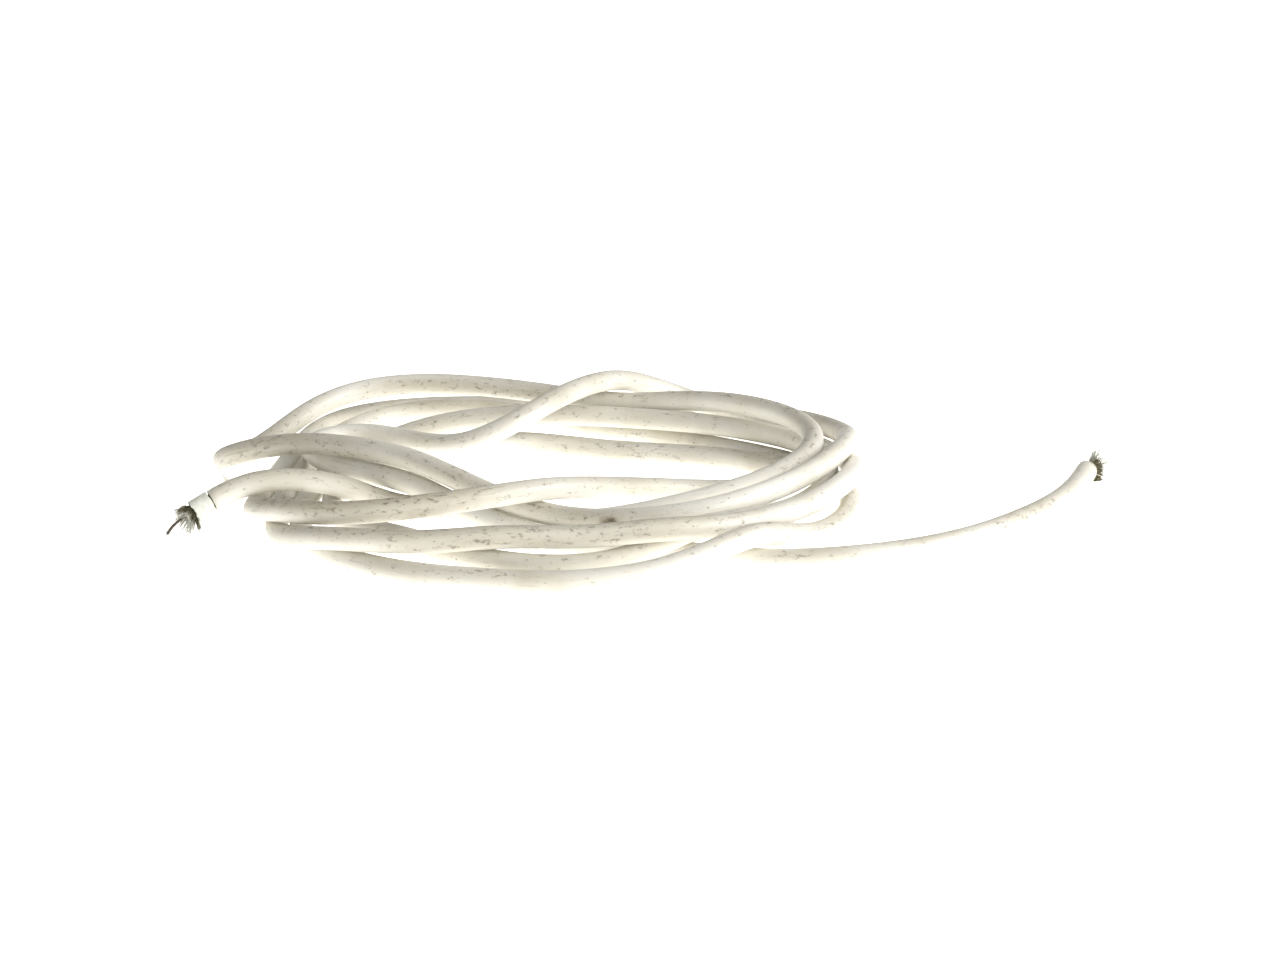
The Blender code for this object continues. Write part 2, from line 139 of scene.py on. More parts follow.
# ---- the route -------------------------------------------------------------
@dataclass
class Route:
    """The centre line of the cable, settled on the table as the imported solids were.

    A path is rows of x, y, z in mm. First and second are the indexes of the straight pieces
    of each pair.

    Attributes:
        diameter: over the jacket, mm.
        walk_step: spacing while the coil is settled, mm.
        contact: centre distance kept between two turns lying together, mm.
        turns: rounds of settling.
        pull: share of the way back to the chosen points, each early round.
        shaping: share of the rounds that are early ones.
        early_soften: how much each early round softens the path.
        late_soften: how much every fourth later round does.
        relist: rounds between one list of close pairs and the next.
        listed: how near a pair is to be listed, in contact distances.
        neighbours: pieces nearer than this along the cable never press, in diameters.
        reach: how far the line runs straight on past each end, mm.
    """

    diameter: float = 4.0
    walk_step: float = 4.0
    contact: float = 4.2
    turns: int = 400
    pull: float = 0.02
    shaping: float = 0.7
    early_soften: float = 0.5
    late_soften: float = 0.2
    relist: int = 20
    listed: float = 1.8
    neighbours: float = 2.2
    reach: float = 20.0
    line: np.ndarray = field(default_factory=lambda: np.zeros((0, 3)))

    @staticmethod
    def walk(points: np.ndarray, step: float) -> np.ndarray:
        """Resample a smooth curve through the points at an even step, both ends kept."""
        pts = np.array(points, float)
        ends = np.vstack([2 * pts[0] - pts[1], pts, 2 * pts[-1] - pts[-2]])
        t = np.linspace(0.0, 1.0, CURVE_SAMPLES, endpoint=False)[:, None]
        rows = []
        for k in range(len(pts) - 1):
            a, b, c, d = ends[k:k + 4]
            rows.append(0.5 * (2 * b + (c - a) * t + (2 * a - 5 * b + 4 * c - d) * t ** 2
                               + (3 * b - a - 3 * c + d) * t ** 3))
        fine = np.vstack(rows + [pts[-1:]])
        run = distances(fine)
        at = np.linspace(0.0, run[-1], int(round(run[-1] / step)) + 1)
        return np.stack([np.interp(at, run, fine[:, k]) for k in range(3)], axis=1)

    @staticmethod
    def soften(path: np.ndarray, amount: float) -> np.ndarray:
        """Take this much of each sharp change of bend out of the path, both ends kept."""
        mid = np.zeros_like(path)
        mid[1:-1] = (path[:-2] + path[2:]) / 2 - path[1:-1]
        wave = np.zeros_like(path)
        wave[1:-1] = (mid[:-2] + mid[2:]) / 2 - mid[1:-1]
        return path - amount * wave

    @staticmethod
    def nearest(path: np.ndarray, first: np.ndarray, second: np.ndarray
                ) -> tuple[np.ndarray, np.ndarray, np.ndarray]:
        """Find where the pairs come closest.

        Returns:
            Share along the first, share along the second, and the gap between them.
        """
        u, v = path[first + 1] - path[first], path[second + 1] - path[second]
        w = path[first] - path[second]
        uu, uv, vv = (u * u).sum(axis=1), (u * v).sum(axis=1), (v * v).sum(axis=1)
        uw, vw = (u * w).sum(axis=1), (v * w).sum(axis=1)
        s = np.clip((uv * vw - vv * uw) / np.maximum(uu * vv - uv * uv, TINY), 0.0, 1.0)
        t = np.clip((uv * s + vw) / vv, 0.0, 1.0)
        s = np.clip((uv * t - uw) / uu, 0.0, 1.0)
        return s, t, -(w + s[:, None] * u - t[:, None] * v)

    def keep_apart(self, path: np.ndarray, first: np.ndarray, second: np.ndarray) -> np.ndarray:
        """Push pairs that come too close straight apart and return the new path."""
        s, t, gap = self.nearest(path, first, second)
        dist = np.linalg.norm(gap, axis=1)
        near = dist < self.contact
        if not near.any():
            return path
        push = ((self.contact - dist[near]) / np.maximum(dist[near], TINY))[:, None]
        push = push * gap[near] * 0.5
        move, count = np.zeros_like(path), np.zeros(len(path))
        for index, share, sign in ((first[near], 1 - s[near], -1), (first[near] + 1, s[near], -1),
                                   (second[near], 1 - t[near], 1), (second[near] + 1, t[near], 1)):
            np.add.at(move, index, sign * share[:, None] * push)
            np.add.at(count, index, share)
        return path + move / np.maximum(count, 0.5)[:, None]

    def pairs(self, path: np.ndarray) -> tuple[np.ndarray, np.ndarray]:
        """List every pair of pieces that are not neighbours along the cable."""
        run = distances(path)
        one, two = np.triu_indices(len(path) - 1, 2)
        apart = run[two] - run[one + 1] > self.neighbours * self.diameter
        return one[apart], two[apart]

    def settle(self) -> None:
        """Lay the turns on the table and on one another, and bring the line into the frame."""
        chosen = np.array([place for part in LAY.values() for place in part], float)
        start = self.walk(chosen, self.walk_step)
        path = start.copy()
        one, two = self.pairs(path)
        for turn in range(self.turns):
            if turn % self.relist == 0:
                gap = self.nearest(path, one, two)[2]
                close = (gap ** 2).sum(axis=1) < (self.listed * self.contact) ** 2
                first, second = one[close], two[close]
            if turn < self.shaping * self.turns:
                path = self.soften(path + self.pull * (start - path), self.early_soften)
            elif turn % 4 == 0:
                path = self.soften(path, self.late_soften)
            for _ in range(2):
                path = self.keep_apart(path, first, second)
                path[:, 2] = np.maximum(path[:, 2], self.diameter / 2)
        self.line = path + np.array(FRAME_SHIFT)

    def between(self, start: float, stop: float, step: float) -> np.ndarray:
        """Cut a length out of the line, evenly spaced.

        Args:
            start: distance from the right cut end, mm; below zero runs straight on past it.
            stop: distance from the right cut end, mm; past the length runs straight on.
            step: the spacing wanted, mm.

        Returns:
            Rows of x, y, z in mm.
        """
        fine = self.walk(self.line, FINE_STEP)
        run = distances(fine)
        head, tail = unit(fine[0] - fine[1]), unit(fine[-1] - fine[-2])
        run = np.concatenate([[-self.reach], run, [run[-1] + self.reach]])
        fine = np.vstack([fine[:1] + self.reach * head, fine, fine[-1:] + self.reach * tail])
        at = np.linspace(start, stop, int(round((stop - start) / step)) + 1)
        return np.stack([np.interp(at, run, fine[:, k]) for k in range(3)], axis=1)

    def length(self) -> float:
        """The cable's length from cut face to cut face, mm."""
        return float(distances(self.walk(self.line, FINE_STEP))[-1])


def distances(path: np.ndarray) -> np.ndarray:
    """Distance along a path at each of its points, starting at zero."""
    return np.concatenate([[0.0], np.cumsum(np.linalg.norm(np.diff(path, axis=0), axis=1))])


def unit(vector: np.ndarray) -> np.ndarray:
    """The same direction, one long."""
    return vector / np.linalg.norm(vector)


def carried_frames(path: np.ndarray) -> tuple[np.ndarray, np.ndarray]:
    """Carry a cross direction along a path without twisting it.

    Args:
        path: rows of x, y, z.

    Returns:
        For every point, a direction across the path and one square to both.
    """
    along = np.gradient(path, axis=0)
    along /= np.linalg.norm(along, axis=1)[:, None]
    across = np.zeros_like(path)
    side = np.cross(along[0], (0.0, 0.0, 1.0))
    across[0] = unit(side)
    for k in range(1, len(path)):
        side = across[k - 1] - along[k] * float(across[k - 1] @ along[k])
        across[k] = unit(side)
    return across, np.cross(along, across)


# ---- finishes ----------------------------------------------------------------
def linear(colour: str) -> tuple[float, float, float, float]:
    """Turn six sRGB hex digits into the linear red, green, blue and alpha that a node takes."""
    parts = [int(colour[k:k + 2], 16) / 255 for k in (0, 2, 4)]
    flat = [c / 12.92 if c <= 0.04045 else ((c + 0.055) / 1.055) ** 2.4 for c in parts]
    return flat[0], flat[1], flat[2], 1.0


class Graph:
    """A new material and the nodes that feed its Principled shader."""

    def __init__(self, name: str) -> None:
        """Start the material from its plain shader."""
        self.material = bpy.data.materials.new(name)
        self.material.use_nodes = True
        self.tree = self.material.node_tree
        self.shader = self.tree.nodes["Principled BSDF"]

    def add_node(self, kind: str, settings: dict | None = None, inputs: dict | None = None,
                 **attributes: object) -> bpy.types.Node:
        """Add a node with its settings and links.

        Args:
            kind: the node's type name.
            settings: input name or index to a value.
            inputs: input name or index to the output socket that feeds it.
            attributes: properties of the node itself.

        Returns:
            The node.
        """
        node = self.tree.nodes.new(kind)
        for name, value in attributes.items():
            setattr(node, name, value)
        for name, value in (settings or {}).items():
            node.inputs[name].default_value = value
        for name, socket in (inputs or {}).items():
            self.tree.links.new(socket, node.inputs[name])
        return node

    def attribute(self, name: str, output: str) -> Socket:
        """A value stored on the mesh."""
        return self.add_node("ShaderNodeAttribute", attribute_name=name).outputs[output]

    def texture(self, place: Socket, size: float, detail: float, roughness: float = 0.5) -> Socket:
        """Noise whose largest features are this many mm across."""
        settings = {"Scale": 1 / (size * MM), "Detail": detail, "Roughness": roughness}
        return self.add_node("ShaderNodeTexNoise", settings, {"Vector": place}).outputs["Fac"]

    def stretched(self, place: Socket, share: float) -> Socket:
        """Coordinates that draw a pattern out along the cable, longer for a smaller share."""
        node = self.add_node("ShaderNodeMapping", {"Scale": (share, 1.0, 1.0)}, {"Vector": place})
        return node.outputs["Vector"]

    def total(self, first: Socket, second: Socket, clamp: bool = False) -> Socket:
        """The sum of two values, kept between 0 and 1 if clamp is set."""
        node = self.add_node("ShaderNodeMath", {}, {0: first, 1: second}, operation="ADD",
                             use_clamp=clamp)
        return node.outputs[0]

    def times(self, value: Socket, factor: float) -> Socket:
        """A value times a number."""
        node = self.add_node("ShaderNodeMath", {1: factor}, {0: value}, operation="MULTIPLY")
        return node.outputs[0]

    def window(self, value: Socket, low: float, high: float, top: float = 1.0) -> Socket:
        """Stretch a value's range so that low becomes 0 and high becomes top."""
        settings = {"From Min": low, "From Max": high, "To Max": top}
        return self.add_node("ShaderNodeMapRange", settings, {"Value": value}).outputs["Result"]

    def ramp(self, value: Socket, stops: list[tuple[float, str]]) -> Socket:
        """Colour a value by stops, each a place from 0 to 1 and a hex colour."""
        node = self.add_node("ShaderNodeValToRGB", inputs={"Fac": value})
        band = node.color_ramp
        while len(band.elements) < len(stops):
            band.elements.new(0.5)
        for element, (place, colour) in zip(band.elements, stops):
            element.position = place
            element.color = linear(colour)
        return node.outputs["Color"]

    def tinted(self, base: Socket, colour: str, amount: Socket) -> Socket:
        """A base colour with some of a hex colour laid over it."""
        node = self.add_node("ShaderNodeMix", {"B": linear(colour)},
                             {"Factor": amount, "A": base}, data_type="RGBA")
        return node.outputs["Result"]

    def finish(self, colour: Socket, wear: Socket, roughness: tuple[float, float],
               relief: Socket, bump: tuple[float, float]) -> bpy.types.Material:
        """Link colour, roughness and bump to the shader.

        Args:
            colour: the base colour.
            wear: the value that roughness follows.
            roughness: at a wear of 0 and of 1.
            relief: the height.
            bump: strength, and height in mm.

        Returns:
            The material.
        """
        rough = self.add_node("ShaderNodeMapRange",
                              {"To Min": roughness[0], "To Max": roughness[1]}, {"Value": wear})
        normal = self.add_node("ShaderNodeBump", {"Strength": bump[0], "Distance": bump[1] * MM},
                               {"Height": relief})
        for socket, name in ((colour, "Base Color"), (rough.outputs["Result"], "Roughness"),
                             (normal.outputs["Normal"], "Normal")):
            self.tree.links.new(socket, self.shader.inputs[name])
        return self.material

    def set(self, **values: object) -> None:
        """Set plain shader inputs, an underscore standing for a space."""
        for name, value in values.items():
            self.shader.inputs[name.replace("_", " ")].default_value = value


@dataclass(frozen=True)
class AgedPvc:
    """Extruded soft white PVC, years old: creamy, slightly greasy, scuffed, ground-in dirt, with
    painted shade on the tops of the turns.
    """

    name: str = "extruded_white_pvc_aged"
    clean: str = "EDEBE4"
    yellowed: str = "DEDACE"
    film_and_shade: str = "A59D87"
    speck: str = "6E6454"
    roughness: tuple[float, float] = (0.34, 0.55)
    ior: float = 1.53
    film_size: float = 22.0      # patches of yellowing, mm
    streak_size: tuple[float, float] = (6.0, 0.35)   # rubs: long along the cable, narrow round it
    speck_size: float = 1.0      # clumps of ground-in grit, mm, broken up by finer detail
    speck_stretch: float = 0.5   # they lie along the way the cable was dragged
    peel_size: float = 0.55      # orange peel of the extruded skin, mm
    tone_stops: tuple[float, float, float] = (0.32, 0.56, 0.86)   # clean, yellowed, filmed
    rubbed: tuple[float, float, float] = (0.63, 0.75, 0.35)   # noise from, to; how strong
    film_share: float = 0.8      # how much film full grime and painted shade leaves
    grit_lift: float = 0.075     # how much full grime and painted shade raise the grit noise
    grit: tuple[float, float, float] = (0.588, 0.662, 0.78)   # noise from, to; how strong
    mark: tuple[float, float, float] = (1.1, 1.7, 0.9)        # value of grime and painted shade from, to; how strong
    streak_height: float = 0.6   # of the rubs against the orange peel
    bump: tuple[float, float] = (0.25, 0.05)         # strength, and height in mm
    glow_through: float = 0.08   # light that enters the plastic and comes out again
    glow_radius: tuple[float, float, float] = (1.0, 0.8, 0.5)
    glow_scale: float = 0.8      # mm

    def build(self) -> bpy.types.Material:
        """Make the material, which reads the straight cable's coordinates and the value of grime and
        painted shade.
        """
        graph = Graph(self.name)
        straight, grime_and_shade = graph.attribute(STRAIGHT, "Vector"), graph.attribute(GRIME_AND_SHADE, "Fac")
        patches = graph.texture(straight, self.film_size, 4.0, 0.6)
        long, narrow = self.streak_size
        streaks = graph.texture(graph.stretched(straight, narrow / long), narrow, 2.0)
        dragged = graph.stretched(straight, self.speck_stretch)
        grit = graph.texture(dragged, self.speck_size, 8.0, 0.82)
        peel = graph.texture(straight, self.peel_size, 2.0)
        colours = (self.clean, self.yellowed, self.film_and_shade)
        tone = graph.ramp(patches, list(zip(self.tone_stops, colours)))
        # film from the rubs, and from ground-in dirt and painted shade on the tops of the turns
        filmed_and_shaded = graph.total(graph.window(streaks, *self.rubbed),
                            graph.window(grime_and_shade, 0.0, 1.0, self.film_share))
        raised = graph.total(grit, graph.times(grime_and_shade, self.grit_lift))
        marked = graph.total(graph.window(raised, *self.grit), graph.window(grime_and_shade, *self.mark),
                             clamp=True)
        colour = graph.tinted(graph.tinted(tone, self.film_and_shade, filmed_and_shaded), self.speck, marked)
        relief = graph.total(peel, graph.times(streaks, self.streak_height))
        graph.set(IOR=self.ior, Subsurface_Weight=self.glow_through,
                  Subsurface_Radius=self.glow_radius, Subsurface_Scale=self.glow_scale * MM)
        return graph.finish(colour, patches, self.roughness, relief, self.bump)


@dataclass(frozen=True)
class PlainFinish:
    """A finish told by a colour range, a roughness and one noise.

    Attributes:
        name: what the real material is.
        low: hex colour of its darker parts.
        high: hex colour of its lighter parts.
        grain: size of the change between them, mm.
        roughness: of the surface.
        metallic: 1 for bare metal.
        bump: height of the grain, mm.
        transmission: share of light let through.
        ior: for what is not metal.
    """

    name: str
    low: str
    high: str
    grain: float
    roughness: float
    metallic: float = 0.0
    bump: float = 0.01
    transmission: float = 0.0
    ior: float = 1.5

    def build(self) -> bpy.types.Material:
        """Make the material, its pattern on the piece's own place in the frame."""
        graph = Graph(self.name)
        place = graph.add_node("ShaderNodeTexCoord").outputs["Object"]
        noise = graph.texture(place, self.grain, 3.0)
        colour = graph.ramp(noise, [(0.36, self.low), (0.64, self.high)])
        graph.set(Metallic=self.metallic, Transmission_Weight=self.transmission)
        if not self.metallic:
            graph.set(IOR=self.ior)
        rough = (self.roughness - 0.1, self.roughness + 0.1)
        return graph.finish(colour, noise, rough, noise, (0.5, self.bump))


# Natural PVC with no white in it: a milky ring, faintly green, that lets some light through.
COLLAR_PVC = PlainFinish("translucent_pvc_ring", "DCDDCF", "EEEEE6", 1.2, 0.38,
                         transmission=0.12, ior=1.53)
# Tinned copper gone dull: dark olive, with lighter flecks painted as glints.
SCREEN_WIRE = PlainFinish("tarnished_tinned_copper_braid", "36321F", "96906F", 0.22, 0.45,
                          metallic=0.6)
# Cellular polyethylene round the conductor: chalky, cream.
CORE_FOAM = PlainFinish("foamed_polyethylene_insulation", "CFC8B2", "E9E4D4", 0.8, 0.6, ior=1.51)
# Bare copper strands, gone grey-brown with age.
CORE_COPPER = PlainFinish("oxidised_bare_copper_strand", "3D372E", "80766A", 0.4, 0.45,
                          metallic=0.6)
# Polyester strength yarn, cut with a blunt blade: pale grey, matt, hairy.
FILLER_YARN = PlainFinish("cut_polyester_filler_yarn", "A9A99C", "E2E2D9", 0.3, 0.8, ior=1.55)


# ---- pieces ------------------------------------------------------------------
def finish_piece(piece: bpy.types.Object, material: bpy.types.Material, slot: Slot,
                 *nodes: str) -> bpy.types.Object:
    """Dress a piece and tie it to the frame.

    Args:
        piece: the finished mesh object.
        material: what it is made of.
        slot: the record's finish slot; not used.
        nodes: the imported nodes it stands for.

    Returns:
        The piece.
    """
    piece.data.materials.clear()
    piece.data.materials.append(material)
    piece.data.shade_smooth()
    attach(piece, BODY)
    if nodes:
        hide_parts(*nodes)
    log.info("%s: %d faces", piece.name, len(piece.data.polygons))
    return piece


@dataclass
class Hose:
    """A tube with a wall along the cable, closed at both ends by a rim.

    Attributes:
        name: of the piece.
        centres: rows of x, y, z, mm.
        outside: outside radius, mm.
        bore: inside radius, mm.
        sides: corners round the tube.
        unevenness: how far the outside wanders from round, as a share of the radius.
        lip: how far the outside is drawn in at both ends, as a share of the wall.
    """

    name: str
    centres: np.ndarray
    outside: float
    bore: float
    sides: int
    unevenness: float = 0.0
    lip: float = 0.12

    def swelling(self, along: np.ndarray, angle: np.ndarray) -> np.ndarray:
        """The outside radius over its nominal one.

        Args:
            along: distance along the cable, mm, one per ring.
            angle: turn round the cable, one per corner.

        Returns:
            One factor per ring and corner.
        """
        s, a = along[:, None], angle[None, :]
        slow = np.sin(s / 23.0) * 0.5 + np.sin(s / 9.1 + 1.3) * 0.3
        oval = np.cos(2 * (a - s / 61.0)) * (0.6 + 0.4 * np.sin(s / 37.0))
        ripple = np.sin(s / 3.7 + 2 * a) * np.sin(s / 17.0) * 0.35
        return 1.0 + self.unevenness * (slow + oval + ripple - 0.8)

    def build(self) -> bpy.types.Object:
        """Make the mesh with its straight-cable coordinates.

        Returns:
            The object, in the scene.
        """
        n, m = len(self.centres), self.sides
        across, over = carried_frames(self.centres)
        angle = np.arange(m) * 2 * math.pi / m
        run = distances(self.centres)
        skin = self.outside * self.swelling(run, angle)
        bore = np.full((n, m), self.bore)
        drawn_in = self.lip * (self.outside - self.bore)
        skin[0] -= drawn_in
        skin[-1] -= drawn_in
        ring = (np.cos(angle)[None, :, None] * across[:, None, :]
                + np.sin(angle)[None, :, None] * over[:, None, :])
        places, laid = [], []
        for radius in (skin, bore):
            places.append((self.centres[:, None, :] + ring * radius[:, :, None]).reshape(-1, 3))
            flat = np.stack([np.broadcast_to(run[:, None], (n, m)), radius * np.cos(angle),
                             radius * np.sin(angle)], axis=-1)
            laid.append(flat.reshape(-1, 3))
        k, j = np.meshgrid(np.arange(n - 1), np.arange(m), indexing="ij")
        a, b = (k * m + j).ravel(), (k * m + (j + 1) % m).ravel()
        outer = np.stack([a, b, b + m, a + m], axis=1)
        inner = np.stack([a, a + m, b + m, b], axis=1) + n * m
        j = np.arange(m)
        near, near_next = j, (j + 1) % m
        far, far_next = (n - 1) * m + j, (n - 1) * m + (j + 1) % m
        rims = [np.stack([near, near + n * m, near_next + n * m, near_next], axis=1),
                np.stack([far, far_next, far_next + n * m, far + n * m], axis=1)]
        mesh = bpy.data.meshes.new(self.name)
        faces = np.vstack([outer, inner] + rims)
        mesh.from_pydata((np.vstack(places) * MM).tolist(), [], faces.tolist())
        put_attribute(mesh, STRAIGHT, np.vstack(laid) * MM)
        piece = bpy.data.objects.new(self.name, mesh)
        bpy.context.scene.collection.objects.link(piece)
        return piece


def put_attribute(mesh: bpy.types.Mesh, name: str, values: np.ndarray) -> None:
    """Store one number, or one row of three, per vertex of the mesh."""
    vector = values.ndim == 2
    layer = mesh.attributes.new(name, "FLOAT_VECTOR" if vector else "FLOAT", "POINT")
    layer.data.foreach_set("vector" if vector else "value", values.astype(np.float32).ravel())


def strands(name: str, lines: list[tuple[np.ndarray, float, float]], sides: int
            ) -> bpy.types.Object:
    """Make one mesh of many thin round wires.

    Args:
        name: of the piece.
        lines: rows of x, y, z in mm, with the radius at the root and at the tip.
        sides: bevel resolution; 0 gives four sides, 1 gives six.

    Returns:
        The object, in the scene.
    """
    curve = bpy.data.curves.new(name, "CURVE")
    curve.dimensions = "3D"
    curve.twist_mode = "MINIMUM"
    curve.bevel_depth = MM
    curve.bevel_resolution = sides
    curve.use_fill_caps = True
    for places, root, tip in lines:
        spline = curve.splines.new("POLY")
        spline.points.add(len(places) - 1)
        thick = np.linspace(root, tip, len(places))
        flat = np.column_stack([places * MM, np.ones(len(places))])
        spline.points.foreach_set("co", flat.ravel())
        spline.points.foreach_set("radius", thick)
    piece = bpy.data.objects.new(name, curve)
    bpy.context.scene.collection.objects.link(piece)
    bpy.ops.object.select_all(action="DESELECT")
    piece.select_set(True)
    bpy.context.view_layer.objects.active = piece
    bpy.ops.object.convert(target="MESH")
    return bpy.context.view_layer.objects.active


@dataclass(frozen=True)
class DirtAndShadeStretch:
    """One stretch of the jacket darkened by ground-in dirt, and by painted shade where it faces up.

    Attributes:
        at: distance from the right cut end, mm.
        reach: half the length of the stretch, mm.
        faces: the way the darkened side looks: x, y, z.
        amount: 0 to 1 for grit and film; above 1 a solid mark.
        spread: how far round the jacket it goes; small is a narrow line.
    """

    at: float
    reach: float
    faces: tuple[float, float, float]
    amount: float
    spread: float = 0.35


# The darkened stretches, each on one side of the cable: ground-in grit and film, and on the
# stretches facing up, painted shade on the tops of the turns.
FRONT, TOP, LOW_FRONT, TOP_FRONT = (0, -1, 0.1), (0, -0.2, 1), (0, -1, -0.6), (0, -0.7, 0.7)
DIRT_AND_SHADE_STRETCHES: list[DirtAndShadeStretch] = [DirtAndShadeStretch(*row) for row in (
    (82, 11, TOP_FRONT, 0.6, 0.2), (40, 45, TOP, 0.45, 0.5), (60, 9, TOP, 0.55),
    (428, 30, FRONT, 0.8, 0.15), (450, 60, TOP, 0.75, 0.6), (520, 40, TOP, 0.5),
    (1638, 30, TOP_FRONT, 0.6, 0.4), (1620, 1.5, FRONT, 2.2, 0.15),
    (1292, 45, TOP_FRONT, 0.6, 0.45), (1328, 38, TOP, 1.0, 0.6), (1313, 15, FRONT, 0.6, 0.25),
    (1705, 34, TOP_FRONT, 0.85, 0.6), (1693, 30, LOW_FRONT, 0.8, 0.25),
    (1771, 24, FRONT, 0.7, 0.22), (1795, 26, TOP_FRONT, 0.55, 0.3), (1835, 50, TOP, 0.6, 0.4),
    (1192, 20, FRONT, 0.6, 0.3), (1955, 36, TOP, 0.75, 0.5), (252, 35, TOP_FRONT, 0.5, 0.4),
    (300, 20, TOP, 0.5, 0.3), (890, 60, TOP_FRONT, 0.5), (1182, 60, TOP, 0.6),
    (792, 40, TOP_FRONT, 0.5), (592, 40, TOP_FRONT, 0.5), (1508, 60, TOP, 0.6),
    (1430, 40, TOP, 0.5), (690, 60, TOP, 0.5, 0.5), (1060, 60, TOP, 0.5, 0.4),
)]


@dataclass
class Jacket:
    """The white outer jacket, cut square at the right and scored round near the left end."""

    radius: float = 1.99
    bore: float = 1.37
    sides: int = 24
    step: float = 1.25
    unevenness: float = 0.010
    collar_length: float = 3.4   # the loose ring at the left, which is its own piece
    score: float = 0.24          # the scored gap between them

    def grime_and_shade(self, places: np.ndarray, centres: np.ndarray, along: np.ndarray) -> np.ndarray:
        """How far each point of the jacket is darkened, by settled dirt and by painted shade on the
        tops of the turns.

        Args:
            places: every vertex, mm.
            centres: the centre line at each vertex, mm.
            along: distance along the cable at each vertex, mm.

        Returns:
            One value per vertex: 0 is clean, above 1 a solid mark.
        """
        out = unit_rows(places - centres)
        amount = np.zeros(len(places))
        for patch in DIRT_AND_SHADE_STRETCHES:
            near = np.exp(-((along - patch.at) / patch.reach) ** 4)
            side = out @ unit(np.array(patch.faces))
            amount = np.maximum(amount, patch.amount * near * np.clip(
                (side - (1 - 2 * patch.spread)) / (2 * patch.spread), 0, 1))
        return amount

    def build(self, route: Route, skin: bpy.types.Material) -> tuple[bpy.types.Object, np.ndarray]:
        """Make the jacket.

        Args:
            route: the settled centre line.
            skin: the finish of the jacket.

        Returns:
            The jacket and its ring centres in metres.
        """
        stop = route.length() - self.collar_length - self.score
        centres = route.between(0.0, stop, self.step)
        piece = Hose("outer_jacket_skin", centres, self.radius, self.bore, self.sides,
                     self.unevenness).build()
        rings = np.repeat(np.arange(len(centres)), self.sides)
        rings = np.concatenate([rings, rings])
        places = np.empty(len(piece.data.vertices) * 3)
        piece.data.vertices.foreach_get("co", places)
        # one value per vertex: ground-in dirt, and painted shade on the tops of the turns
        soil_and_shade = self.grime_and_shade(places.reshape(-1, 3) / MM, centres[rings], distances(centres)[rings])
        put_attribute(piece.data, GRIME_AND_SHADE, soil_and_shade)
        finish_piece(piece, skin, Slot.JACKET, "outer_jacket")
        return piece, centres * MM


def unit_rows(rows: np.ndarray) -> np.ndarray:
    """Every row made one long."""
    return rows / np.maximum(np.linalg.norm(rows, axis=1), 1e-9)[:, None]


@dataclass
class CutEnd:
    """Places round the axis of one cut end, measured from the jacket's face.

    Attributes:
        side: which end.
        tip: centre of the jacket's face, mm.
        out: the way the end points.
    """

    side: Side
    tip: np.ndarray
    out: np.ndarray

    def __post_init__(self) -> None:
        """Work out the two directions across the end."""
        self.out = unit(self.out)
        self.across = unit(np.cross(self.out, (0.0, 0.0, 1.0)))
        self.up = np.cross(self.across, self.out)

    def at(self, along: float, radius: float, degrees: float) -> np.ndarray:
        """A point this far along, this far off the axis, at a turn in degrees."""
        turn = math.radians(degrees)
        return (self.tip + self.out * along + self.across * radius * math.cos(turn)
                + self.up * radius * math.sin(turn))


def cut_end(route: Route, side: Side) -> CutEnd:
    """Find one end of the cable on its settled centre line."""
    line = route.line if side is Side.LEFT else route.line[::-1]
    return CutEnd(side, line[-1], line[-1] - line[-2])


@dataclass(frozen=True)
class Lock:
    """Loose wires or fibres that leave a cut end together.

    Attributes:
        turns: the arc round the axis that they leave from, degrees.
        count: how many there are.
        length: how far they reach past the jacket's face, mm, shortest and longest.
        flare: how far they bend away from the axis, mm, least and most.
        droop: how far their tips sink, mm.
        back: how far the tips fold back along the jacket, mm.
        curl: how far a screen wire wanders to the side, mm.
    """

    turns: tuple[float, float]
    count: int
    length: tuple[float, float]
    flare: tuple[float, float]
    droop: float = 0.2
    back: float = 0.0
    curl: float = 0.3


LOCKS: dict[Side, list[Lock]] = {
    Side.LEFT: [
        Lock((0, 360), 80, (0.7, 1.5), (0.3, 0.8)),
        Lock((50, 130), 70, (1.2, 3.1), (0.2, 1.1), 0.2, 0.0, 0.5),
        Lock((125, 215), 60, (0.5, 1.4), (0.7, 1.7), 0.5, 0.3),
        Lock((200, 250), 46, (0.4, 1.3), (0.9, 2.1), 0.6, 0.6, 0.4),
        Lock((-40, 50), 40, (1.4, 3.2), (0.5, 1.9), 0.5, 0.0, 0.6),
        Lock((260, 330), 22, (1.2, 2.6), (0.3, 1.2), 0.6, 0.0, 0.5),
    ],
    Side.RIGHT: [
        Lock((0, 360), 60, (0.5, 1.2), (0.3, 0.9)),
        Lock((-75, 62), 320, (0.3, 0.9), (1.3, 2.0), 0.2),
        Lock((-105, -60), 110, (0.3, 0.9), (2.0, 3.6), 0.6, 0.8, 0.2),
        Lock((-50, -25), 50, (0.8, 1.7), (1.5, 2.4), 0.6),
        Lock((15, 75), 26, (1.8, 3.6), (1.4, 3.0), -0.3, 0.0, 0.8),
        Lock((105, 140), 5, (0.6, 1.2), (1.3, 2.4), -0.5, 0.9),
    ],
}
YARN: dict[Side, list[Lock]] = {
    Side.LEFT: [
        Lock((0, 360), 46, (1.6, 3.2), (0.2, 1.2), 0.7),
        Lock((240, 320), 34, (1.8, 3.4), (0.5, 1.8), 1.0),
        Lock((170, 225), 22, (1.2, 2.6), (1.2, 2.6), 1.0),
        Lock((-25, 25), 14, (2.4, 3.6), (1.0, 2.0), 0.9),
    ],
    Side.RIGHT: [
        Lock((0, 360), 20, (1.2, 2.4), (0.2, 0.9), 0.0),
        Lock((5, 80), 90, (1.8, 3.8), (1.2, 3.0), -0.3),
    ],
}


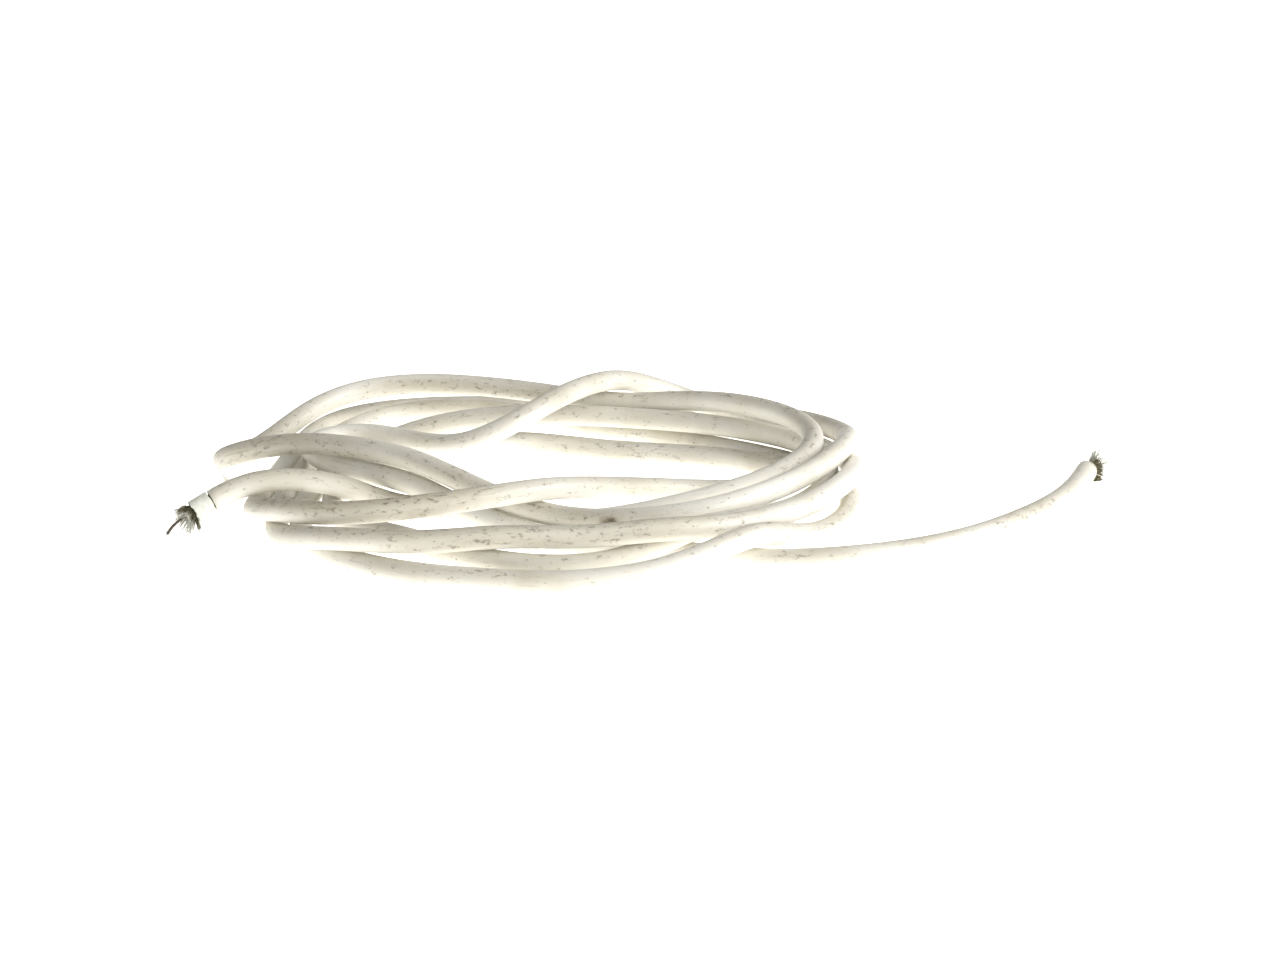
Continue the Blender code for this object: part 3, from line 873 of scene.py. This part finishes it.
@dataclass
class Fray:
    """Wires or fibres that leave a cut end and go their own ways.

    Attributes:
        ring: radius that they leave from, mm.
        thick: usual radius of one, mm.
        bend: power by which they lean outward along their length.
        sink: power by which they droop.
        wave: turns of their wave, radians.
        wander: turn round the cable for each mm of curl, degrees.
        shares: places of the loose points, as shares of the length.
        lowest: none goes below this above the table, mm.
        fold_from: share of the length past which one may fold back.
        fold: power by which it folds.
    """

    ring: float
    thick: float
    bend: float
    sink: float
    wave: float
    wander: float
    shares: tuple[float, ...]
    lowest: float = 0.10
    fold_from: float = 0.3
    fold: float = 1.2

    def loose(self, end: CutEnd, lock: Lock, dice: np.random.Generator, widest: float
              ) -> tuple[float, list[np.ndarray]]:
        """Follow one wire or fibre from the face to its tip.

        Args:
            end: the cut end.
            lock: the bunch it belongs to.
            dice: the seeded chances.
            widest: how far it may curl to the side, mm.

        Returns:
            The turn that it leaves at in degrees, and its points in mm.
        """
        turn = dice.uniform(*lock.turns)
        length, flare = dice.uniform(*lock.length), dice.uniform(*lock.flare)
        curl, phase = dice.uniform(-widest, widest), dice.uniform(0, 2 * math.pi)
        points = []
        for t in self.shares:
            wave = curl * math.sin(phase + self.wave * t) * t
            folded = lock.back * max(0.0, t - self.fold_from) ** self.fold
            place = end.at(length * t - folded, self.ring + flare * t ** self.bend + wave,
                           turn + self.wander * curl * t)
            place[2] = max(place[2] - lock.droop * t ** self.sink, self.lowest)
            points.append(place)
        return turn, points


@dataclass
class FrayedScreen(Fray):
    """The woven screen where it comes out of the jacket, every wire running on into the fray.

    Attributes:
        inside: how far back in the bore the wires are followed, mm.
        weave: how far a wire rises and dips as it crosses the others, mm.
        lay: turn of the weave per mm along the cable, degrees.
    """

    ring: float = 1.24
    thick: float = 0.042
    bend: float = 1.7
    sink: float = 1.7
    wave: float = 7.0
    wander: float = 14.0
    shares: tuple[float, ...] = (0.22, 0.42, 0.6, 0.76, 0.89, 1.0)
    inside: float = 1.6
    weave: float = 0.05
    lay: float = 32.0

    def build(self, end: CutEnd, material: bpy.types.Material, seed: int,
              nodes: list[str]) -> bpy.types.Object:
        """Make every wire of one end as one piece."""
        dice = np.random.default_rng(seed)
        lines = []
        for lock in LOCKS[end.side]:
            for k in range(lock.count):
                thick = self.thick * dice.uniform(0.8, 1.25)
                sign = 1 if k % 2 else -1
                turn, points = self.loose(end, lock, dice, lock.curl)
                woven = [end.at(along, self.ring + self.weave * sign * (-1) ** n,
                                turn + sign * self.lay * along)
                         for n, along in enumerate(np.linspace(-self.inside, 0.0, 5))]
                lines.append((np.array(woven + points), thick, 0.6 * thick))
        piece = strands(f"frayed_screen_{end.side.value}", lines, 0)
        return finish_piece(piece, material, Slot.SCREEN, *nodes)


@dataclass
class FillerYarn(Fray):
    """Pale strength yarn between the screen and the core, cut ragged and fluffed out.

    Attributes:
        rooted: where each fibre starts and where it leaves the bore, mm from the face.
        curl: how far a fibre wanders to the side, mm.
    """

    ring: float = 0.98
    thick: float = 0.05
    bend: float = 1.5
    sink: float = 2.0
    wave: float = 6.0
    wander: float = 25.0
    shares: tuple[float, ...] = (0.2, 0.4, 0.58, 0.74, 0.88, 1.0)
    rooted: tuple[float, float] = (-1.2, -0.3)
    curl: float = 0.35

    def build(self, end: CutEnd, material: bpy.types.Material, seed: int,
              nodes: list[str]) -> bpy.types.Object:
        """Make the yarn of one end as one piece."""
        dice = np.random.default_rng(seed)
        lines = []
        for lock in YARN[end.side]:
            for _ in range(lock.count):
                turn, points = self.loose(end, lock, dice, self.curl)
                root = [end.at(along, self.ring, turn) for along in self.rooted]
                thick = self.thick * dice.uniform(0.6, 1.9)
                lines.append((np.array(root + points), thick, 0.45 * thick))
        piece = strands(f"filler_yarn_{end.side.value}", lines, 0)
        return finish_piece(piece, material, Slot.FILLER, *nodes)


@dataclass
class CopperCore:
    """Seven bare strands twisted together; at the left they hang out and sag to the table.

    Attributes:
        strand: radius of one strand, mm.
        twist_radius: radius of the ring of six round the middle one, mm.
        pitch: length of one full twist, mm.
        hang: at the left, distance past the face and how far the strands have sagged, mm.
        stub: how far they stand out at the right, mm.
        inside: how far back in the cable they are followed, mm.
        step: spacing of the points, mm.
        splay: how much the ring opens over the last of its length.
        splayed: how long that last part is, mm.
    """

    strand: float = 0.105
    twist_radius: float = 0.19
    pitch: float = 5.0
    step: float = 0.3
    splay: float = 0.35
    splayed: float = 0.9
    hang: tuple[tuple[float, float], ...] = ((1.0, 0.0), (2.2, 0.0), (3.3, 0.1), (4.4, 0.35),
                                             (5.3, 0.75), (6.1, 1.2))
    stub: float = 2.4
    inside: float = 4.0

    def axis(self, end: CutEnd) -> np.ndarray:
        """The middle line of the strands past one end's face."""
        rows = [end.at(-self.inside, 0, 0), end.at(0, 0, 0)]
        if end.side is Side.RIGHT:
            rows.append(end.at(self.stub, 0, 0))
        else:
            for along, sag in self.hang:
                place = end.at(along, sag, 270)
                place[2] = max(place[2], self.twist_radius + self.strand)
                rows.append(place)
        return Route.walk(np.array(rows), self.step)

    def build(self, end: CutEnd, material: bpy.types.Material) -> bpy.types.Object:
        """Make the twisted strands of one end as one piece."""
        middle = self.axis(end)
        across, over = carried_frames(middle)
        run = distances(middle)
        lines = [(middle, self.strand, self.strand)]
        for k in range(6):
            angle = 2 * math.pi * (run / self.pitch + k / 6)
            opened = np.clip(run - run[-1] + self.splayed, 0, 1)
            spread = self.twist_radius * (1 + self.splay * opened)
            ring = np.cos(angle)[:, None] * across + np.sin(angle)[:, None] * over
            places = middle + spread[:, None] * ring
            places[:, 2] = np.maximum(places[:, 2], self.strand)
            cut = len(places) - (k * 2) % 3
            lines.append((places[:cut], self.strand, 0.85 * self.strand))
        piece = strands(f"copper_strands_{end.side.value}", lines, 1)
        return finish_piece(piece, material, Slot.CONDUCTOR)


@dataclass
class PvcRing:
    """The ring of jacket at the left, scored through and slid a hair's breadth along."""

    radius: float = 1.97
    wall: float = 0.60
    length: float = 3.4
    corners: int = 14
    rim: float = 0.10

    def build(self, end: CutEnd) -> bpy.types.Object:
        """Make the ring: an open cylinder, cut finer, given a wall and rounded rims."""
        bpy.ops.object.select_all(action="DESELECT")
        bpy.ops.mesh.primitive_cylinder_add(vertices=self.corners, radius=self.radius * MM,
                                            depth=self.length * MM, end_fill_type="NOTHING")
        ring = bpy.context.active_object
        ring.name = "pvc_ring_left"
        bpy.ops.object.mode_set(mode="EDIT")
        bpy.ops.mesh.select_all(action="SELECT")
        bpy.ops.mesh.subdivide(number_cuts=3)
        bpy.ops.object.mode_set(mode="OBJECT")
        for vertex in ring.data.vertices:
            x, y, z = vertex.co / MM
            angle = math.atan2(y, x)
            uneven = 0.012 * math.sin(3 * angle + z) + 0.02 * max(0.0, z / self.length)
            size = self.radius * (1 + uneven)
            ragged = 0.10 * math.sin(5 * angle) + 0.06 * math.sin(11 * angle + 1)
            shift = ragged * (1 if z > 0 else 0.35) * abs(2 * z / self.length) ** 6
            vertex.co = Vector((size * math.cos(angle), size * math.sin(angle), z + shift)) * MM
        wall = ring.modifiers.new("wall", "SOLIDIFY")
        wall.thickness = self.wall * MM
        wall.offset = -1.0
        rounded = ring.modifiers.new("rounded", "BEVEL")
        rounded.width = self.rim * MM
        rounded.segments = 2
        rounded.limit_method = "ANGLE"
        for name in ("wall", "rounded"):
            bpy.ops.object.modifier_apply(modifier=name)
        turned = Matrix((end.across, -end.up, end.out)).transposed().to_4x4()
        middle = Vector(end.at(-self.length / 2, 0, 0) * MM)
        ring.data.transform(Matrix.Translation(middle) @ turned)
        return finish_piece(ring, COLLAR_PVC.build(), Slot.COLLAR, "jacket_collar_left")


@dataclass
class TornSliver:
    """A sliver of jacket skin that the blade lifted a little way behind the scored ring."""

    width: float = 0.9
    height: float = 1.7
    thickness: float = 0.09
    curl: float = 0.28
    back: float = 7.4          # from the left end, along the cable
    root_radius: float = 1.9   # its root is this far off the cable's middle
    grime_and_shade: float = 0.2

    def build(self, route: Route, material: bpy.types.Material) -> bpy.types.Object:
        """Make the sliver: a plane drawn to a point, curled, and given its thickness."""
        bpy.ops.object.select_all(action="DESELECT")
        bpy.ops.mesh.primitive_grid_add(x_subdivisions=6, y_subdivisions=10, size=1.0)
        sliver = bpy.context.active_object
        sliver.name = "torn_sliver_left"
        whole = route.length()
        near = route.between(whole - self.back - 1.0, whole - self.back, 1.0)
        end = CutEnd(Side.LEFT, near[1], near[1] - near[0])
        root = end.at(0.0, self.root_radius, 82)
        lift = end.up * 0.96 + end.out * 0.30
        for vertex in sliver.data.vertices:
            side, rise = vertex.co.x, vertex.co.y + 0.5
            width = self.width * (1 - rise) ** 0.8 + 0.05
            curl = self.curl * rise * rise + 0.06 * math.sin(6 * rise)
            place = (root - end.out * side * width + lift * rise * self.height
                     + end.across * curl)
            vertex.co = Vector(place * MM)
        wall = sliver.modifiers.new("wall", "SOLIDIFY")
        wall.thickness = self.thickness * MM
        bpy.ops.object.modifier_apply(modifier="wall")
        flat = np.array([tuple(v.co) for v in sliver.data.vertices])
        put_attribute(sliver.data, GRIME_AND_SHADE, np.full(len(flat), self.grime_and_shade))
        put_attribute(sliver.data, STRAIGHT, flat)
        return finish_piece(sliver, material, Slot.JACKET)


@dataclass
class InnerLayers:
    """What the jacket hides along its whole length: screen, insulation and core.

    Attributes:
        step: spacing of the rings, mm.
        braid: of the screen: how far out of the jacket, outside radius, bore radius, mm.
        foam: the same of the insulation.
        core: radius of the copper, mm.
        core_short: how far from each face the plain core stops, mm; loose strands go on.
    """

    step: float = 2.5
    braid: tuple[float, float, float] = (0.25, 1.27, 1.12)
    foam: tuple[float, float, float] = (1.5, 0.88, 0.50)
    core: float = 0.30
    core_short: float = 3.0

    def build(self, route: Route, screen: bpy.types.Material, core: bpy.types.Material
              ) -> list[bpy.types.Object]:
        """Make the three long inner pieces: the screen, the insulation and the core."""
        whole = route.length()
        pieces = []
        for name, (out, radius, bore), sides, finish, slot, node in (
                ("braided_screen", self.braid, 16, screen, Slot.SCREEN, "screen_braid"),
                ("core_insulation_sleeve", self.foam, 14, CORE_FOAM.build(), Slot.INSULATION,
                 "core_insulation")):
            tube = Hose(name, route.between(-out, whole + out, self.step), radius, bore, sides)
            pieces.append(finish_piece(tube.build(), finish, slot, node))
        line = route.between(self.core_short, whole - self.core_short, self.step)
        copper = strands("copper_core", [(line, self.core, self.core)], 1)
        pieces.append(finish_piece(copper, core, Slot.CONDUCTOR, "core_conductor"))
        return pieces


# ---- the stage ---------------------------------------------------------------
@dataclass
class Studio:
    """A plain pale table that glows, soft light from all round, and the camera.

    Attributes:
        elevation: of the camera above the table, degrees.
        distance: of the camera from the coil's middle, mm.
        lens: focal length, mm.
        sensor: width, mm.
        table: side of the table, m.
        table_glow: strength of its light.
        sky: strength of the light from all round.
        lamps: name, place in m, side in m and power in W.
    """

    elevation: float = 16.0
    distance: float = 490.0
    lens: float = 74.08
    sensor: float = 36.0
    table: float = 6.0
    table_glow: float = 1.14
    sky: float = 0.46
    lamps: tuple = (("soft_right", (0.60, -0.20, 0.30), 0.4, 4.8),
                    ("soft_front", (0.10, -0.80, 0.10), 0.5, 1.5))

    def build(self) -> None:
        """Set the table, the light and the camera."""
        self.lay_table()
        self.light()
        self.place_camera()

    def lay_table(self) -> None:
        """A pale sheet, lit from below as a light table is."""
        bpy.ops.mesh.primitive_plane_add(size=self.table)
        floor = bpy.context.active_object
        floor.name = "pale_table"
        graph = Graph("opal_acrylic_table")
        graph.set(Base_Color=linear("F2F2F0"), Roughness=0.6, Emission_Color=linear("FFFEFA"),
                  Emission_Strength=self.table_glow)
        floor.data.materials.append(graph.material)

    def light(self) -> None:
        """Even light from all round, and a large soft lamp at the right and in front."""
        bpy.context.scene.view_settings.view_transform = "Standard"
        world = bpy.data.worlds.new("studio_air")
        bpy.context.scene.world = world
        world.use_nodes = True
        shade = world.node_tree.nodes["Background"]
        shade.inputs["Color"].default_value = (1.0, 0.99, 0.97, 1.0)
        shade.inputs["Strength"].default_value = self.sky
        for name, place, size, power in self.lamps:
            lamp = bpy.data.lights.new(name, "AREA")
            lamp.energy = power
            lamp.size = size
            thing = bpy.data.objects.new(name, lamp)
            thing.location = place
            aim = Vector((0.0, 0.0, 0.0)) - thing.location
            thing.rotation_euler = aim.to_track_quat("-Z", "Y").to_euler()
            bpy.context.scene.collection.objects.link(thing)

    def place_camera(self) -> None:
        """Look along +Y, a little downwards, from the distance of a hand-held close view."""
        lens = bpy.data.cameras.new("view")
        lens.lens = self.lens
        lens.sensor_width = self.sensor
        camera = bpy.data.objects.new("view", lens)
        tilt = math.radians(self.elevation)
        back = np.array((0.0, -math.cos(tilt), math.sin(tilt))) * self.distance
        camera.location = Vector((np.array(FRAME_SHIFT) + back) * MM)
        camera.rotation_euler = (math.pi / 2 - tilt, 0.0, 0.0)
        bpy.context.scene.collection.objects.link(camera)
        bpy.context.scene.camera = camera


def main() -> None:
    """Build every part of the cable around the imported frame."""
    logging.basicConfig(level=logging.INFO, format="%(message)s")
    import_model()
    route = Route()
    route.settle()
    log.info("cable length %.0f mm", route.length())
    Studio().build()
    skin = AgedPvc().build()
    jacket, centres = Jacket().build(route, skin)
    wire, copper, yarn = SCREEN_WIRE.build(), CORE_COPPER.build(), FILLER_YARN.build()
    pieces = InnerLayers().build(route, wire, copper)
    ends = {side: cut_end(route, side) for side in Side}
    packed_locks = ((Side.LEFT, 12, 2), (Side.RIGHT, 10, 3))
    for seed, (side, locks, tips) in enumerate(packed_locks, start=3):
        end = ends[side]
        pieces.append(FrayedScreen().build(
            end, wire, seed, [f"screen_lock_{side.value}_{k + 1:02d}" for k in range(locks)]))
        pieces.append(FillerYarn().build(
            end, yarn, 10 + seed, [f"filler_tip_{side.value}_{k + 1}" for k in range(tips)]))
        pieces.append(CopperCore().build(end, copper))
    pieces.append(PvcRing().build(ends[Side.LEFT]))
    pieces.append(TornSliver().build(route, skin))
    route.length() * MM


if __name__ == "__main__":
    main()
